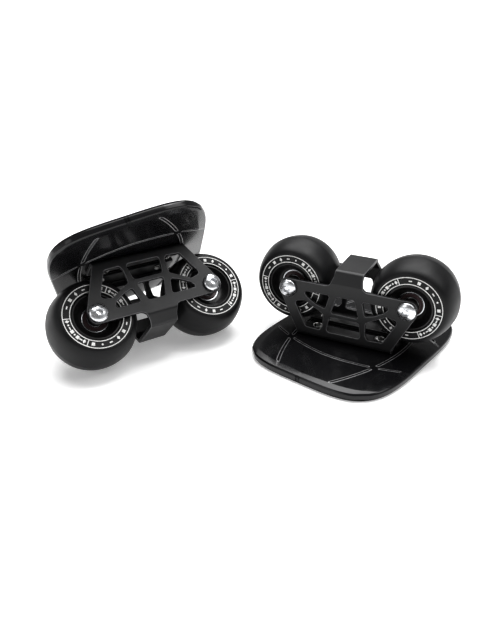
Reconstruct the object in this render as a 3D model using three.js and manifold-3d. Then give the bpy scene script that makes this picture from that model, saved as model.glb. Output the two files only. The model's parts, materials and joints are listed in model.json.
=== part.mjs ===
// A pair of drift skates (free skates): two small boards, each over two wheels in line.
// One board stands tilted on its wheels and one deck edge, the other lies upside down.
// Millimetres, +Z up. Each skate is drawn in its own frame and then placed:
//   origin midway between the two axles, +X along the wheel line towards the front wheel,
//   +Y along the axles towards the toes, +Z up through the deck.

import * as THREE from 'three';
import { mergeVertices } from 'three/addons/utils/BufferGeometryUtils.js';
import Module from 'manifold-3d';

const wasm = await Module();
wasm.setup();

// ---- clearances ----
const seat_gap = 0.3;          // between pieces that rest on each other
const fit_gap = 0.1;           // radial, round pieces pushed into each other
const seal_gap = 0.4;          // radial, bearing seal to inner race

// ---- wheels ----
const wheel_diameter = 73;
const wheel_width = 43;
const axle_spacing = 102;
const side_band_outer = 27.5;  // radius where the flat side turns into the round tread
const hub_radius = 20;         // radius of the opening in the tyre's side
const barrel_shift = 8;        // how far past the middle the tread's curve is centred
const tyre_edge = 0.5;
const hub_recess = 1;          // core rim below the tyre's side
const hub_lip = 1.6;           // width of the core's rim
const hub_dish = 6.6;          // depth of the dish round the bearing

// ---- bearings and axles ----
const bearing_outer = 22;
const bearing_inner = 8;
const bearing_width = 7;
const bearing_face = 13.3;     // outer face of each bearing, from the wheel's middle
const race_wall = 2.2;
const ring_wall = 1.6;
const seal_thickness = 0.8;
const bush_diameter = 12.4;
const axle_head_diameter = 15.5;
const axle_head_rim = 1.2;
const axle_head_height = 4.6;
const dome_shares = [0.3, 0.6, 0.85];  // of the head's radius, where its outline has points
const socket_width = 5;        // hexagon, across flats
const socket_depth = 2.6;
const thread_diameter = 5;
const sleeve_bore_depth = 26;
const thread_end_gap = 3;

// ---- frame ----
const sheet = 3;
const channel_width = 52.6;    // over both side plates
const channel_top = 43;        // top of the flanges, where the deck seats
const bend_radius = 3;
const bend_cut = 0.9;          // how far the middle of the bend lies inside the square corner
const flange_slot = 10;        // gap between the two flanges
const strap_half_length = 12.2;
const strap_flare = 1.2;       // the strap is this much wider where its sides start
const strap_fold_high = -11.5; // the plates bend inward here
const strap_fold_low = -21;    // and meet the flat of the strap here
const strap_flat_width = 40;
const boss_radius = 8.2;       // plate end round each axle
const boss_corner = 7;         // rounding under the plate end
const boss_lean = 0.8;         // the plate end's underside stops this much short of the boss
const shoulder_low = 4;        // height over the axles where the plate's sloped end starts
const shoulder_low_corner = 4;
const shoulder_lean = 0.3;
const outline_spare = 1;       // the cutting outline runs this far past the sheet
const square_corner = 0.2;
const shoulder_half_length = 42;
const shoulder_height = 39;

// ---- deck ----
const deck_length = 175;       // along the foot
const deck_width = 136;
// Where each deck is screwed to its frame: its turn between the foot and the axles, in degrees,
// and the shift of its middle along the wheel line and along the axles.
const left_deck = { turn: -16, shift_x: 1.5, shift_y: 2.4 };
const right_deck = { turn: 13, shift_x: 4.3, shift_y: 3.3 };
const deck_roundness = 4;      // exponent of the outline's superellipse
const deck_rim_low = 44;
const deck_top = 49.7;
const deck_edge = 1.2;
const deck_taper = 7;          // width of the sloped band under the edge
const pad_thickness = 1;
const pad_inset = 1.5;
const screw_reach_x = 28;
const screw_reach_y = 10;
const screw_shank = 5;
const screw_head = 9;
const screw_head_height = 2.4;
const screw_head_rim = 0.6;
const screw_flat = 0.6;         // share of the head's width that is flat
const screw_socket_width = 3;
const screw_socket_depth = 1.4;
const screw_length = 8;

// ---- how the two skates lie ----
const left_heading = 34.1;     // degrees about +Z
const right_heading = -26.4;
const right_from_left_x = 175.7;
const right_from_left_y = 12.7;

// ---- fineness ----
const tyre_segments = 32;
const hub_segments = 16;
const screw_segments = 12;
const deck_points = 48;
const corner_steps = 3;
const barrel_steps = 5;

const looks = {
  urethane: { color: 0x141415, roughness: 0.55, metalness: 0 },
  core: { color: 0x0d0d0e, roughness: 0.5, metalness: 0 },
  bearing: { color: 0xb9bbbe, roughness: 0.25, metalness: 1 },
  chrome: { color: 0xd9dade, roughness: 0.12, metalness: 1 },
  anodised: { color: 0x1b1b1d, roughness: 0.4, metalness: 0.6 },
  deck: { color: 0x101011, roughness: 0.3, metalness: 0.1 },
  grip: { color: 0x0a0a0a, roughness: 0.95, metalness: 0 },
  screw: { color: 0x8e9094, roughness: 0.3, metalness: 1 },
};

// ---- geometry helpers ----

// Merges shared corners and turns the faces outward.
function closed(geometry) {
  geometry.deleteAttribute('normal');
  geometry.deleteAttribute('uv');
  const merged = mergeVertices(geometry, 1e-4);
  const place = merged.getAttribute('position');
  const kept = [];
  let volume = 0;
  const corner = [new THREE.Vector3(), new THREE.Vector3(), new THREE.Vector3()];
  for (let i = 0; i < merged.index.count; i += 3) {
    const [a, b, c] = [0, 1, 2].map((k) => merged.index.getX(i + k));
    if (a === b || b === c || a === c) continue;
    kept.push(a, b, c);
    [a, b, c].forEach((vertex, k) => corner[k].fromBufferAttribute(place, vertex));
    volume += corner[0].dot(corner[1].clone().cross(corner[2]));
  }
  merged.setIndex(volume < 0 ? kept.reverse() : kept);
  return merged;
}

function toManifold(geometry) {
  const solid = closed(geometry);
  const vertProperties = new Float32Array(solid.getAttribute('position').array);
  const triVerts = new Uint32Array(solid.index.array);
  return new wasm.Manifold(new wasm.Mesh({ numProp: 3, vertProperties, triVerts }));
}

function fromManifold(solid) {
  const mesh = solid.getMesh();
  const geometry = new THREE.BufferGeometry();
  geometry.setAttribute('position', new THREE.BufferAttribute(mesh.vertProperties, 3));
  geometry.setIndex(new THREE.BufferAttribute(mesh.triVerts, 1));
  return geometry;
}

// A ring or disc turned about Y from [radius, y] points, closed back to the first one.
function turned(points, segments) {
  const profile = [...points, points[0]].map(([r, y]) => new THREE.Vector2(r, y));
  return closed(new THREE.LatheGeometry(profile, segments));
}

// A solid disc or pin turned about Y: the profile starts and ends on the axis.
function turnedSolid(points, segments) {
  return closed(new THREE.LatheGeometry(points.map(([r, y]) => new THREE.Vector2(r, y)), segments));
}

// A prism with n flat sides about Y, from y = low to y = high.
function prism(n, radius, low, high) {
  return turnedSolid([[0, low], [radius, low], [radius, high], [0, high]], n);
}

// Closed outline with each corner rounded to its own radius: corners are [x, y, radius].
function roundedPath(path, corners) {
  const count = corners.length;
  corners.forEach(([x, y, radius], i) => {
    const here = new THREE.Vector2(x, y);
    const [px, py] = corners[(i + count - 1) % count];
    const [nx, ny] = corners[(i + 1) % count];
    const back = new THREE.Vector2(px, py).sub(here).normalize();
    const ahead = new THREE.Vector2(nx, ny).sub(here).normalize();
    const half = Math.acos(THREE.MathUtils.clamp(back.dot(ahead), -1, 1)) / 2;
    const reach = radius / Math.tan(half);
    const middle = back.clone().add(ahead).normalize().multiplyScalar(radius / Math.sin(half)).add(here);
    const start = back.multiplyScalar(reach).add(here);
    const end = ahead.multiplyScalar(reach).add(here);
    const from = start.clone().sub(middle).angle();
    let sweep = end.clone().sub(middle).angle() - from;
    if (sweep > Math.PI) sweep -= 2 * Math.PI;
    if (sweep < -Math.PI) sweep += 2 * Math.PI;
    for (let step = 0; step <= corner_steps; step += 1) {
      const angle = from + (sweep * step) / corner_steps;
      const px2 = middle.x + radius * Math.cos(angle);
      const py2 = middle.y + radius * Math.sin(angle);
      if (i === 0 && step === 0) path.moveTo(px2, py2);
      else path.lineTo(px2, py2);
    }
  });
  path.closePath();
  return path;
}

// Extrudes an X-Z outline along Y over the whole channel.
function acrossChannel(shape) {
  const depth = 2 * channel_width;
  const geometry = new THREE.ExtrudeGeometry(shape, { depth, bevelEnabled: false });
  geometry.translate(0, 0, -depth / 2);
  geometry.rotateX(Math.PI / 2);
  return geometry;
}

// ---- wheel ----

// The round tread as [radius, y] points, from y = 0 to the edge of the flat side.
function treadCurve() {
  const half = wheel_width / 2;
  const reach = half + barrel_shift;
  const first = Math.asin(barrel_shift / reach);
  const swell = (wheel_diameter / 2 - side_band_outer) / Math.cos(first);
  const points = [];
  for (let i = 0; i <= barrel_steps; i += 1) {
    const t = first + ((Math.PI / 2 - first) * i) / barrel_steps;
    points.push([side_band_outer + swell * Math.cos(t), reach * Math.sin(t) - barrel_shift]);
  }
  return points;
}

function mirrored(points) {
  return points.map(([r, y]) => [r, -y]).reverse();
}

function tyreGeometry() {
  const half = wheel_width / 2;
  const curve = treadCurve();
  const bore = [[hub_radius + tyre_edge, half], [hub_radius, half - tyre_edge]];
  const upper = [...curve, ...bore];
  return turned([...upper, ...mirrored(upper).slice(0, -1)], tyre_segments);
}

function coreGeometry() {
  const outside = hub_radius - seat_gap;
  const rim = wheel_width / 2 - hub_recess;
  const seat = bearing_outer / 2 + fit_gap;
  const shoulder = seat - ring_wall;
  const step = bearing_face - bearing_width - seat_gap;
  const upper = [
    [outside, rim],
    [outside - hub_lip, rim],
    [seat + hub_lip, rim - hub_dish],
    [seat, bearing_face + seat_gap],
    [seat, step],
    [shoulder, step],
  ];
  return turned([...upper, ...mirrored(upper)], hub_segments);
}

// Outer race with its two seals, centred on y = 0.
function bearingRingGeometry() {
  const outside = bearing_outer / 2;
  const wall = outside - ring_wall;
  const lip = bearing_inner / 2 + race_wall + seal_gap;
  const face = bearing_width / 2;
  const upper = [[outside, face], [lip, face], [lip, face - seal_thickness], [wall, face - seal_thickness]];
  return turned([...upper, ...mirrored(upper)], hub_segments);
}

function ringGeometry(inner, outer, length) {
  const upper = [[outer, length / 2], [inner, length / 2]];
  return turned([...upper, ...mirrored(upper)], hub_segments);
}

// ---- axle ----

// Half the axle's grip: from the wheel's middle to the outside of a side plate.
const plate_outside = channel_width / 2;

// Domed head outside the plate on the +Y side, as [radius, y] points from the axis.
function headProfile() {
  const seat = plate_outside + seat_gap;
  const radius = axle_head_diameter / 2;
  const dome = axle_head_height - axle_head_rim;
  const points = [[0, seat + axle_head_height]];
  for (const share of dome_shares) {
    points.push([radius * share, seat + axle_head_rim + dome * Math.sqrt(1 - share * share)]);
  }
  points.push([radius, seat + axle_head_rim]);
  points.push([radius, seat]);
  return points;
}

function socketCutter(width, top, depth) {
  return toManifold(prism(6, width / Math.sqrt(3), top - depth, top + 1));
}

function withSocket(body) {
  const top = plate_outside + seat_gap + axle_head_height;
  return body.subtract(socketCutter(socket_width, top, socket_depth));
}

// Head on the +Y side, shank through both bearings, threaded hole in its far end.
function sleeveGeometry() {
  const radius = bearing_inner / 2 - fit_gap;
  const end = -plate_outside;
  const hole = thread_diameter / 2 + fit_gap;
  const outline = [...headProfile(), [radius, plate_outside + seat_gap], [radius, end], [0, end]];
  const body = toManifold(turnedSolid(outline, hub_segments));
  const bore = toManifold(prism(hub_segments, hole, end - 1, end + sleeve_bore_depth));
  return closed(fromManifold(withSocket(body).subtract(bore)));
}

// Head on the -Y side, threaded shank screwed into the sleeve.
function axleScrewGeometry() {
  const tip = plate_outside - sleeve_bore_depth + thread_end_gap;
  const outline = [...headProfile(), [thread_diameter / 2, plate_outside + seat_gap]];
  outline.push([thread_diameter / 2, tip], [0, tip]);
  const screw = closed(fromManifold(withSocket(toManifold(turnedSolid(outline, hub_segments)))));
  return screw.rotateX(Math.PI);
}

// ---- frame ----

// Moves each point of an open polyline by a distance to its left, with mitred corners.
function offsetPath(points, distance) {
  return points.map((point, i) => {
    const before = points[Math.max(i - 1, 0)];
    const after = points[Math.min(i + 1, points.length - 1)];
    const into = i > 0 ? point.clone().sub(before).normalize() : after.clone().sub(point).normalize();
    const out = i < points.length - 1 ? after.clone().sub(point).normalize() : into.clone();
    const bisector = new THREE.Vector2(-into.y - out.y, into.x + out.x).normalize();
    const stretch = distance / bisector.dot(new THREE.Vector2(-into.y, into.x));
    return point.clone().addScaledVector(bisector, stretch);
  });
}

// Y-Z section of the bent channel, one sheet thick, open between the two flanges.
function channelSection() {
  const outside = channel_width / 2;
  const right = [
    [flange_slot / 2, channel_top],
    [outside - bend_radius, channel_top],
    [outside - bend_cut, channel_top - bend_cut],
    [outside, channel_top - bend_radius],
    [outside, strap_fold_high],
    [strap_flat_width / 2, strap_fold_low],
  ];
  const left = [...right].reverse().map(([y, z]) => [-y, z]);
  const outer = [...right, ...left].map(([y, z]) => new THREE.Vector2(y, z));
  const inner = offsetPath(outer, -sheet).reverse();
  return new THREE.Shape([...outer, ...inner]);
}

function channelGeometry() {
  const depth = 4 * shoulder_half_length;
  const geometry = new THREE.ExtrudeGeometry(channelSection(), { depth, bevelEnabled: false });
  geometry.translate(0, 0, -depth / 2);
  const turn = new THREE.Matrix4().makeBasis(
    new THREE.Vector3(0, 1, 0),
    new THREE.Vector3(0, 0, 1),
    new THREE.Vector3(1, 0, 0),
  );
  return geometry.applyMatrix4(turn);
}

// Side view of the frame, X across and Z up, for the front half: each corner is [x, z, radius].
function sideOutline() {
  const axle = axle_spacing / 2;
  const strap = strap_half_length;
  const front = [
    [shoulder_half_length, channel_top + outline_spare, square_corner],
    [shoulder_half_length, shoulder_height, 2],
    [axle + boss_radius - shoulder_lean, shoulder_low, shoulder_low_corner],
    [axle + boss_radius - boss_lean, -boss_radius, boss_corner],
    [strap + strap_flare + 1, -boss_radius, 7],
    [strap, strap_fold_high - 4, 6],
    [strap, strap_fold_low - outline_spare, square_corner],
  ];
  const rear = [...front].reverse().map(([x, z, radius]) => [-x, z, radius]);
  return roundedPath(new THREE.Shape(), [...front, ...rear]);
}

// Windows in the plates, front half and middle: each corner is [x, z, radius].
const upper_window = [[34, 33.5, 2.5], [21, 34.2, 2.5], [18.8, 30, 2], [18.6, 18.6, 2], [35.5, 9.2, 2], [45, 11.5, 2.5]];
const lower_window = [[35.8, 2.8, 1.2], [35.2, 0.5, 0.6], [14, 0.4, 1.8], [17.4, 13.4, 2], [25, 10.8, 3], [33, 6.2, 2]];
const middle_upper_window = [[15.2, 34.6, 2.5], [-15.2, 34.6, 2.5], [-12.8, 20, 2.5], [12.8, 20, 2.5]];
const middle_lower_window = [[12.3, 16.4, 2], [-12.3, 16.4, 2], [-7.4, 0.4, 1.8], [7.4, 0.4, 1.8]];

function frameGeometry() {
  const flip = (corners) => corners.map(([x, z, radius]) => [-x, z, radius]).reverse();
  const windows = [
    upper_window,
    flip(upper_window),
    lower_window,
    flip(lower_window),
    middle_upper_window,
    middle_lower_window,
  ];
  let body = toManifold(channelGeometry()).intersect(toManifold(acrossChannel(sideOutline())));
  for (const corners of windows) {
    body = body.subtract(toManifold(acrossChannel(roundedPath(new THREE.Shape(), corners))));
  }
  const axle_hole = bearing_inner / 2 - fit_gap + seat_gap;
  for (const side of [-1, 1]) {
    const hole = prism(hub_segments, axle_hole, -channel_width, channel_width);
    hole.translate((side * axle_spacing) / 2, 0, 0);
    body = body.subtract(toManifold(hole));
  }
  const screw_hole = prism(screw_segments, screw_shank / 2 + seat_gap, channel_top - 2 * sheet, channel_top + 1);
  return closed(fromManifold(cutAtScrews(body, screw_hole)));
}

// ---- deck ----

const screw_seat = channel_top - sheet - seat_gap;
const screw_tip = screw_seat + screw_length;
const screw_places = [1, -1].flatMap((x) => [1, -1].map((y) => [x * screw_reach_x, y * screw_reach_y]));

// Takes a round hole, drawn about Y from low to high, out of a body at the four screws.
function cutAtScrews(body, hole) {
  hole.rotateX(Math.PI / 2);
  let cut = body;
  for (const [x, y] of screw_places) {
    cut = cut.subtract(toManifold(hole.clone().translate(x, y, 0)));
  }
  return cut;
}

// The deck's outline, a superellipse turned about Z, drawn in by an inset.
function deckOutline(inset, fitting) {
  const turn = THREE.MathUtils.degToRad(fitting.turn);
  const points = [];
  for (let i = 0; i < deck_points; i += 1) {
    const angle = (2 * Math.PI * i) / deck_points;
    const across = Math.cos(angle);
    const along = Math.sin(angle);
    const bulge = 2 / deck_roundness;
    const x = (deck_width / 2 - inset) * Math.sign(across) * Math.abs(across) ** bulge;
    const y = (deck_length / 2 - inset) * Math.sign(along) * Math.abs(along) ** bulge;
    points.push([
      fitting.shift_x + x * Math.cos(turn) - y * Math.sin(turn),
      fitting.shift_y + x * Math.sin(turn) + y * Math.cos(turn),
    ]);
  }
  return points;
}

// Skin through a stack of outlines: each level is [inset, z], with flat ends.
function stacked(levels, fitting) {
  const positions = [];
  const faces = [];
  for (const [inset, z] of levels) {
    for (const [x, y] of deckOutline(inset, fitting)) positions.push(x, y, z);
  }
  for (let level = 0; level + 1 < levels.length; level += 1) {
    for (let i = 0; i < deck_points; i += 1) {
      const a = level * deck_points + i;
      const b = level * deck_points + ((i + 1) % deck_points);
      faces.push(a, b, b + deck_points, a, b + deck_points, a + deck_points);
    }
  }
  for (const [level, flip] of [[0, true], [levels.length - 1, false]]) {
    const centre = positions.length / 3;
    positions.push(fitting.shift_x, fitting.shift_y, levels[level][1]);
    for (let i = 0; i < deck_points; i += 1) {
      const a = level * deck_points + i;
      const b = level * deck_points + ((i + 1) % deck_points);
      faces.push(...(flip ? [centre, b, a] : [centre, a, b]));
    }
  }
  const geometry = new THREE.BufferGeometry();
  geometry.setAttribute('position', new THREE.Float32BufferAttribute(positions, 3));
  geometry.setIndex(faces);
  return geometry;
}

function deckGeometry(fitting) {
  const levels = [
    [deck_taper, channel_top + seat_gap],
    [deck_edge, deck_rim_low],
    [0, deck_rim_low + deck_edge],
    [0, deck_top - deck_edge],
    [deck_edge, deck_top],
  ];
  const hole = prism(screw_segments, screw_shank / 2 + seat_gap, channel_top - 1, screw_tip + seat_gap);
  return closed(fromManifold(cutAtScrews(toManifold(stacked(levels, fitting)), hole)));
}

function padGeometry(fitting) {
  const low = deck_top + seat_gap;
  return closed(stacked([[pad_inset, low], [pad_inset, low + pad_thickness]], fitting));
}

// Button-head screw, head down under the flange, shank up into the deck.
function deckScrewGeometry() {
  const low = screw_seat - screw_head_height;
  const outline = [
    [0, low],
    [(screw_head * screw_flat) / 2, low],
    [screw_head / 2, screw_seat - screw_head_rim],
    [screw_head / 2, screw_seat],
    [screw_shank / 2, screw_seat],
    [screw_shank / 2, screw_tip],
    [0, screw_tip],
  ];
  const body = toManifold(turnedSolid(outline, screw_segments));
  const socket = prism(6, screw_socket_width / Math.sqrt(3), low - 1, low + screw_socket_depth);
  return closed(fromManifold(body.subtract(toManifold(socket)))).rotateX(Math.PI / 2);
}

// ---- assembly ----

const pair = new THREE.Group();

function add(group, name, geometry, look, y = 0) {
  const mesh = new THREE.Mesh(geometry, new THREE.MeshStandardMaterial(looks[look]));
  mesh.name = name;
  mesh.position.y = y;
  group.add(mesh);
}

const bearing_y = bearing_face - bearing_width / 2;
const race_inner = bearing_inner / 2;
const race_outer = race_inner + race_wall;
const spacer_length = 2 * (bearing_face - bearing_width - seat_gap);
const bush_start = bearing_face + seat_gap;
const bush_end = plate_outside - sheet - seat_gap;
const wheel_pieces = {
  tyre: tyreGeometry(),
  core: coreGeometry(),
  bearing_ring: bearingRingGeometry(),
  inner_race: ringGeometry(race_inner, race_outer, bearing_width),
  spacer: ringGeometry(race_inner, race_outer, spacer_length),
  bush: ringGeometry(race_inner, bush_diameter / 2, bush_end - bush_start),
  sleeve: sleeveGeometry(),
  screw: axleScrewGeometry(),
};

function addWheel(skate, name, x) {
  const wheel = new THREE.Group();
  wheel.position.x = x;
  skate.add(wheel);
  add(wheel, `${name}_tyre`, wheel_pieces.tyre, 'urethane');
  add(wheel, `${name}_wheel_core`, wheel_pieces.core, 'core');
  for (const [end, way] of [['toe', 1], ['heel', -1]]) {
    add(wheel, `${name}_bearing_${end}_outer_race`, wheel_pieces.bearing_ring, 'bearing', way * bearing_y);
    add(wheel, `${name}_bearing_${end}_inner_race`, wheel_pieces.inner_race, 'bearing', way * bearing_y);
    const bush_y = (way * (bush_start + bush_end)) / 2;
    add(wheel, `${name}_axle_bush_${end}`, wheel_pieces.bush, 'anodised', bush_y);
  }
  add(wheel, `${name}_bearing_spacer`, wheel_pieces.spacer, 'anodised');
  add(wheel, `${name}_axle_sleeve`, wheel_pieces.sleeve, 'chrome');
  add(wheel, `${name}_axle_screw`, wheel_pieces.screw, 'chrome');
}

// One skate in its own frame. The deck is turned one way on the left skate, the other on the right.
function makeSkate(name, fitting) {
  const skate = new THREE.Group();
  add(skate, `${name}_deck`, deckGeometry(fitting), 'deck');
  add(skate, `${name}_grip_pad`, padGeometry(fitting), 'grip');
  add(skate, `${name}_frame`, frameGeometry(), 'anodised');
  screw_places.forEach(([x, y], i) => {
    const screw = deckScrewGeometry().translate(x, y, 0);
    add(skate, `${name}_deck_screw_${i + 1}`, screw, 'screw');
  });
  addWheel(skate, `${name}_front`, axle_spacing / 2);
  addWheel(skate, `${name}_rear`, -axle_spacing / 2);
  return skate;
}

// How far the treads reach below the axles when the skate is tilted towards its toe edge.
function wheelReach(tilt) {
  const low = treadCurve().map(([r, y]) => Math.sin(tilt) * y + Math.cos(tilt) * r);
  return Math.max(...low);
}

// How far the deck's toe edge reaches below the axles at the same tilt.
function deckReach(tilt, fitting) {
  const edges = [
    [deck_edge, deck_rim_low],
    [0, deck_rim_low + deck_edge],
    [0, deck_top - deck_edge],
    [deck_edge, deck_top],
  ];
  const low = edges.flatMap(([inset, z]) =>
    deckOutline(inset, fitting).map(([, y]) => Math.sin(tilt) * y - Math.cos(tilt) * z));
  return Math.max(...low);
}

// The tilt at which both treads and the deck's edge touch the floor together.
function restTilt(fitting) {
  let low = 0;
  let high = Math.PI / 2;
  for (let i = 0; i < 40; i += 1) {
    const middle = (low + high) / 2;
    if (deckReach(middle, fitting) < wheelReach(middle)) low = middle;
    else high = middle;
  }
  return (low + high) / 2;
}

function place(skate, heading, tilt, x, y, z) {
  const turntable = new THREE.Group();
  skate.rotation.x = tilt;
  turntable.rotation.z = THREE.MathUtils.degToRad(heading);
  turntable.position.set(x, y, z);
  turntable.add(skate);
  pair.add(turntable);
}

const lean = restTilt(left_deck);
const upside_down_height = deck_top + seat_gap + pad_thickness;
place(makeSkate('left', left_deck), left_heading, -lean, 0, 0, wheelReach(lean));
const right_skate = makeSkate('right', right_deck);
place(right_skate, right_heading, Math.PI, right_from_left_x, right_from_left_y, upside_down_height);

// Centre the pair over the origin, standing on z = 0.
const middle = new THREE.Box3().setFromObject(pair, true).getCenter(new THREE.Vector3());
pair.position.set(-middle.x, -middle.y, 0);

export default pair;
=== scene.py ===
"""Looks for a pair of drift skates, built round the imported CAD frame.

Each skate has its own axes, taken from its two wheel joints: X along the wheel line, Y along the
axles, Z up through the deck. Pieces are drawn in millimetres in those axes and then placed.
"""

import json
import math

import bmesh
import bpy
from mathutils import Matrix, Vector


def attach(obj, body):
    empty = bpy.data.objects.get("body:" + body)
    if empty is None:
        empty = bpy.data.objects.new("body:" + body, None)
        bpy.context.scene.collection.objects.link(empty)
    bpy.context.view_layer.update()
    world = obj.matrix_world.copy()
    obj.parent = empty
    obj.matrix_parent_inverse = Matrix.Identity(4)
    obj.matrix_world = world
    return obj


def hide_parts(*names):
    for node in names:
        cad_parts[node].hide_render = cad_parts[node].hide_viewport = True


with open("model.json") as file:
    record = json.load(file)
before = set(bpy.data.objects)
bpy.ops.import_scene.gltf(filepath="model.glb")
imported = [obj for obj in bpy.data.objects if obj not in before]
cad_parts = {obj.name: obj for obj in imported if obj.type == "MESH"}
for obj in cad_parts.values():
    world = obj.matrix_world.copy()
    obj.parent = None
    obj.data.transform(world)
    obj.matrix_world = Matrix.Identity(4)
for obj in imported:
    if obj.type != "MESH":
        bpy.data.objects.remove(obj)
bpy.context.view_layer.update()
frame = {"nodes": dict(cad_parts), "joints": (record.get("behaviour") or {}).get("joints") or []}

MM = 0.001

# ---- sizes of the skate, in millimetres ----
# They follow the CAD model, or lie a few hundredths to a few tenths inside it, to keep in its box.
AXLE_SPACING = 102
WHEEL_RADIUS = 36.4
WHEEL_HALF_WIDTH = 21.45
SIDE_BAND_OUTER = 27.5
HUB_RADIUS = 20
BARREL_SHIFT = 8
BEARING_FACE = 13.3
BEARING_WIDTH = 7
BEARING_RADIUS = 11
BORE_RADIUS = 4
RACE_RADIUS = 6.2
SHEET = 3
PLATE_OUTSIDE = 26.3
CHANNEL_TOP = 43
FLANGE_EDGE = 5
STRAP_HALF = 12.2
FOLD_HIGH = -11.5
FOLD_LOW = -21
STRAP_FLAT = 20
BOSS_RADIUS = 8.2
SHOULDER_X = 42
SHOULDER_Z = 39
DECK_HALF_WIDTH = 68
DECK_HALF_LENGTH = 87.5
DECK_POWER = 4
DECK_EDGE = 1.2
DECK_LOW = 43.3
EDGE_LOW = 44.0
EDGE_FLAT = 3
DECK_TOP = 49.7
PAD_INSET = 1.5
PAD_LOW = 50
PAD_TOP = 51
HEAD_RADIUS = 7.75
HEAD_SEAT = 26.6
HEAD_HEIGHT = 4.6
HEAD_RIM = 1.2
HEAD_SOCKET = 5
HEAD_SOCKET_DEPTH = 2.6
SLEEVE_RADIUS = 3.9
THREAD_RADIUS = 2.5
SCREW_END = 3.3
BUTTON_RADIUS = 4.45
BUTTON_HEIGHT = 2.35
BUTTON_RIM = 0.5
BUTTON_SOCKET = 3
BUTTON_SOCKET_DEPTH = 1.4
BUTTON_SHANK = 2.5
BUTTON_LENGTH = 7.9
BUTTON_SEGMENTS = 36
SCREW_SEAT = 39.7
SCREW_X = 28
SCREW_Y = 10

# ---- where things are ----
joints = {joint["name"]: joint for joint in frame["joints"]}
SKATES = ("left", "right")
ENDS = ("front", "rear")
DECK_TURN = {"left": -16, "right": 13}
DECK_SHIFT = {"left": (1.5, 2.4), "right": (4.3, 3.3)}


def wheel_centre(skate, end):
    return Vector(joints[f"{skate}_{end}_wheel_spin"]["pos_m"])


def skate_matrix(skate):
    front = wheel_centre(skate, "front")
    rear = wheel_centre(skate, "rear")
    along = (front - rear).normalized()
    axle = Vector(joints[f"{skate}_front_wheel_spin"]["axis"]).normalized()
    up = along.cross(axle)
    matrix = Matrix((along, axle, up)).transposed().to_4x4()
    matrix.translation = (front + rear) / 2
    return matrix


def deck_matrix(skate):
    """From the deck's own axes, across and along the foot, to the skate's, both in millimetres."""
    shift = Matrix.Translation((*DECK_SHIFT[skate], 0))
    return shift @ Matrix.Rotation(math.radians(DECK_TURN[skate]), 4, "Z")


def wheel_matrix(skate, end):
    matrix = skate_matrix(skate)
    matrix.translation = wheel_centre(skate, end)
    return matrix


# ---- node helpers ----
class Shader:
    """A material with short calls for the nodes used here."""

    def __init__(self, name, colour, roughness, metallic=0.0, specular=0.5):
        self.material = bpy.data.materials.new(name)
        self.material.use_nodes = True
        self.tree = self.material.node_tree
        self.tree.nodes.clear()
        self.out = self.node("ShaderNodeOutputMaterial")
        self.bsdf = self.node("ShaderNodeBsdfPrincipled")
        self.bsdf.inputs["Base Color"].default_value = (*colour, 1)
        self.bsdf.inputs["Roughness"].default_value = roughness
        self.bsdf.inputs["Metallic"].default_value = metallic
        self.bsdf.inputs["Specular IOR Level"].default_value = specular
        self.link(self.bsdf.outputs[0], self.out.inputs[0])

    def node(self, kind, **settings):
        node = self.tree.nodes.new(kind)
        for key, value in settings.items():
            setattr(node, key, value)
        return node

    def link(self, output, socket):
        self.tree.links.new(output, socket)

    def place(self):
        """The point's place in its own skate's or wheel's axes, in metres."""
        return self.node("ShaderNodeAttribute", attribute_name="place").outputs["Vector"]

    def math(self, operation, a, b=None):
        node = self.node("ShaderNodeMath", operation=operation)
        for socket, value in zip(node.inputs, (a, b)):
            if value is None:
                continue
            if isinstance(value, (int, float)):
                socket.default_value = value
            else:
                self.link(value, socket)
        return node.outputs[0]

    def noise(self, scale, detail=4.0, roughness=0.55, where=None):
        node = self.node("ShaderNodeTexNoise")
        node.inputs["Scale"].default_value = scale
        node.inputs["Detail"].default_value = detail
        node.inputs["Roughness"].default_value = roughness
        self.link(where or self.place(), node.inputs["Vector"])
        return node.outputs["Fac"]

    def stretched(self, scale_x, scale_y, scale_z):
        node = self.node("ShaderNodeMapping")
        node.inputs["Scale"].default_value = (scale_x, scale_y, scale_z)
        self.link(self.place(), node.inputs["Vector"])
        return node.outputs[0]

    def span(self, value, low, high, to_low, to_high):
        node = self.node("ShaderNodeMapRange")
        for name, number in zip(("From Min", "From Max", "To Min", "To Max"), (low, high, to_low, to_high)):
            node.inputs[name].default_value = number
        self.link(value, node.inputs["Value"])
        return node.outputs[0]

    def blend(self, factor, first, second):
        node = self.node("ShaderNodeMix", data_type="RGBA")
        self.link(factor, node.inputs["Factor"])
        for socket, value in ((node.inputs[6], first), (node.inputs[7], second)):
            if isinstance(value, tuple):
                socket.default_value = (*value, 1)
            else:
                self.link(value, socket)
        return node.outputs[2]

    def bump(self, height, strength, distance_mm):
        node = self.node("ShaderNodeBump")
        node.inputs["Strength"].default_value = strength
        node.inputs["Distance"].default_value = distance_mm * MM
        self.link(height, node.inputs["Height"])
        self.link(node.outputs[0], self.bsdf.inputs["Normal"])

    def painted_highlight(self, scale):
        """The share of painted highlight stored on a mesh's faces, broken up by noise: where it is high,
        the colour is mixed paler in place of edge highlights.
        """
        stored = self.node("ShaderNodeAttribute", attribute_name="painted_highlight").outputs["Fac"]
        return self.math("MULTIPLY", stored, self.span(self.noise(scale, 3), 0.35, 0.6, 0.55, 1.0))

    def set(self, socket, output):
        self.link(output, self.bsdf.inputs[socket])


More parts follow.
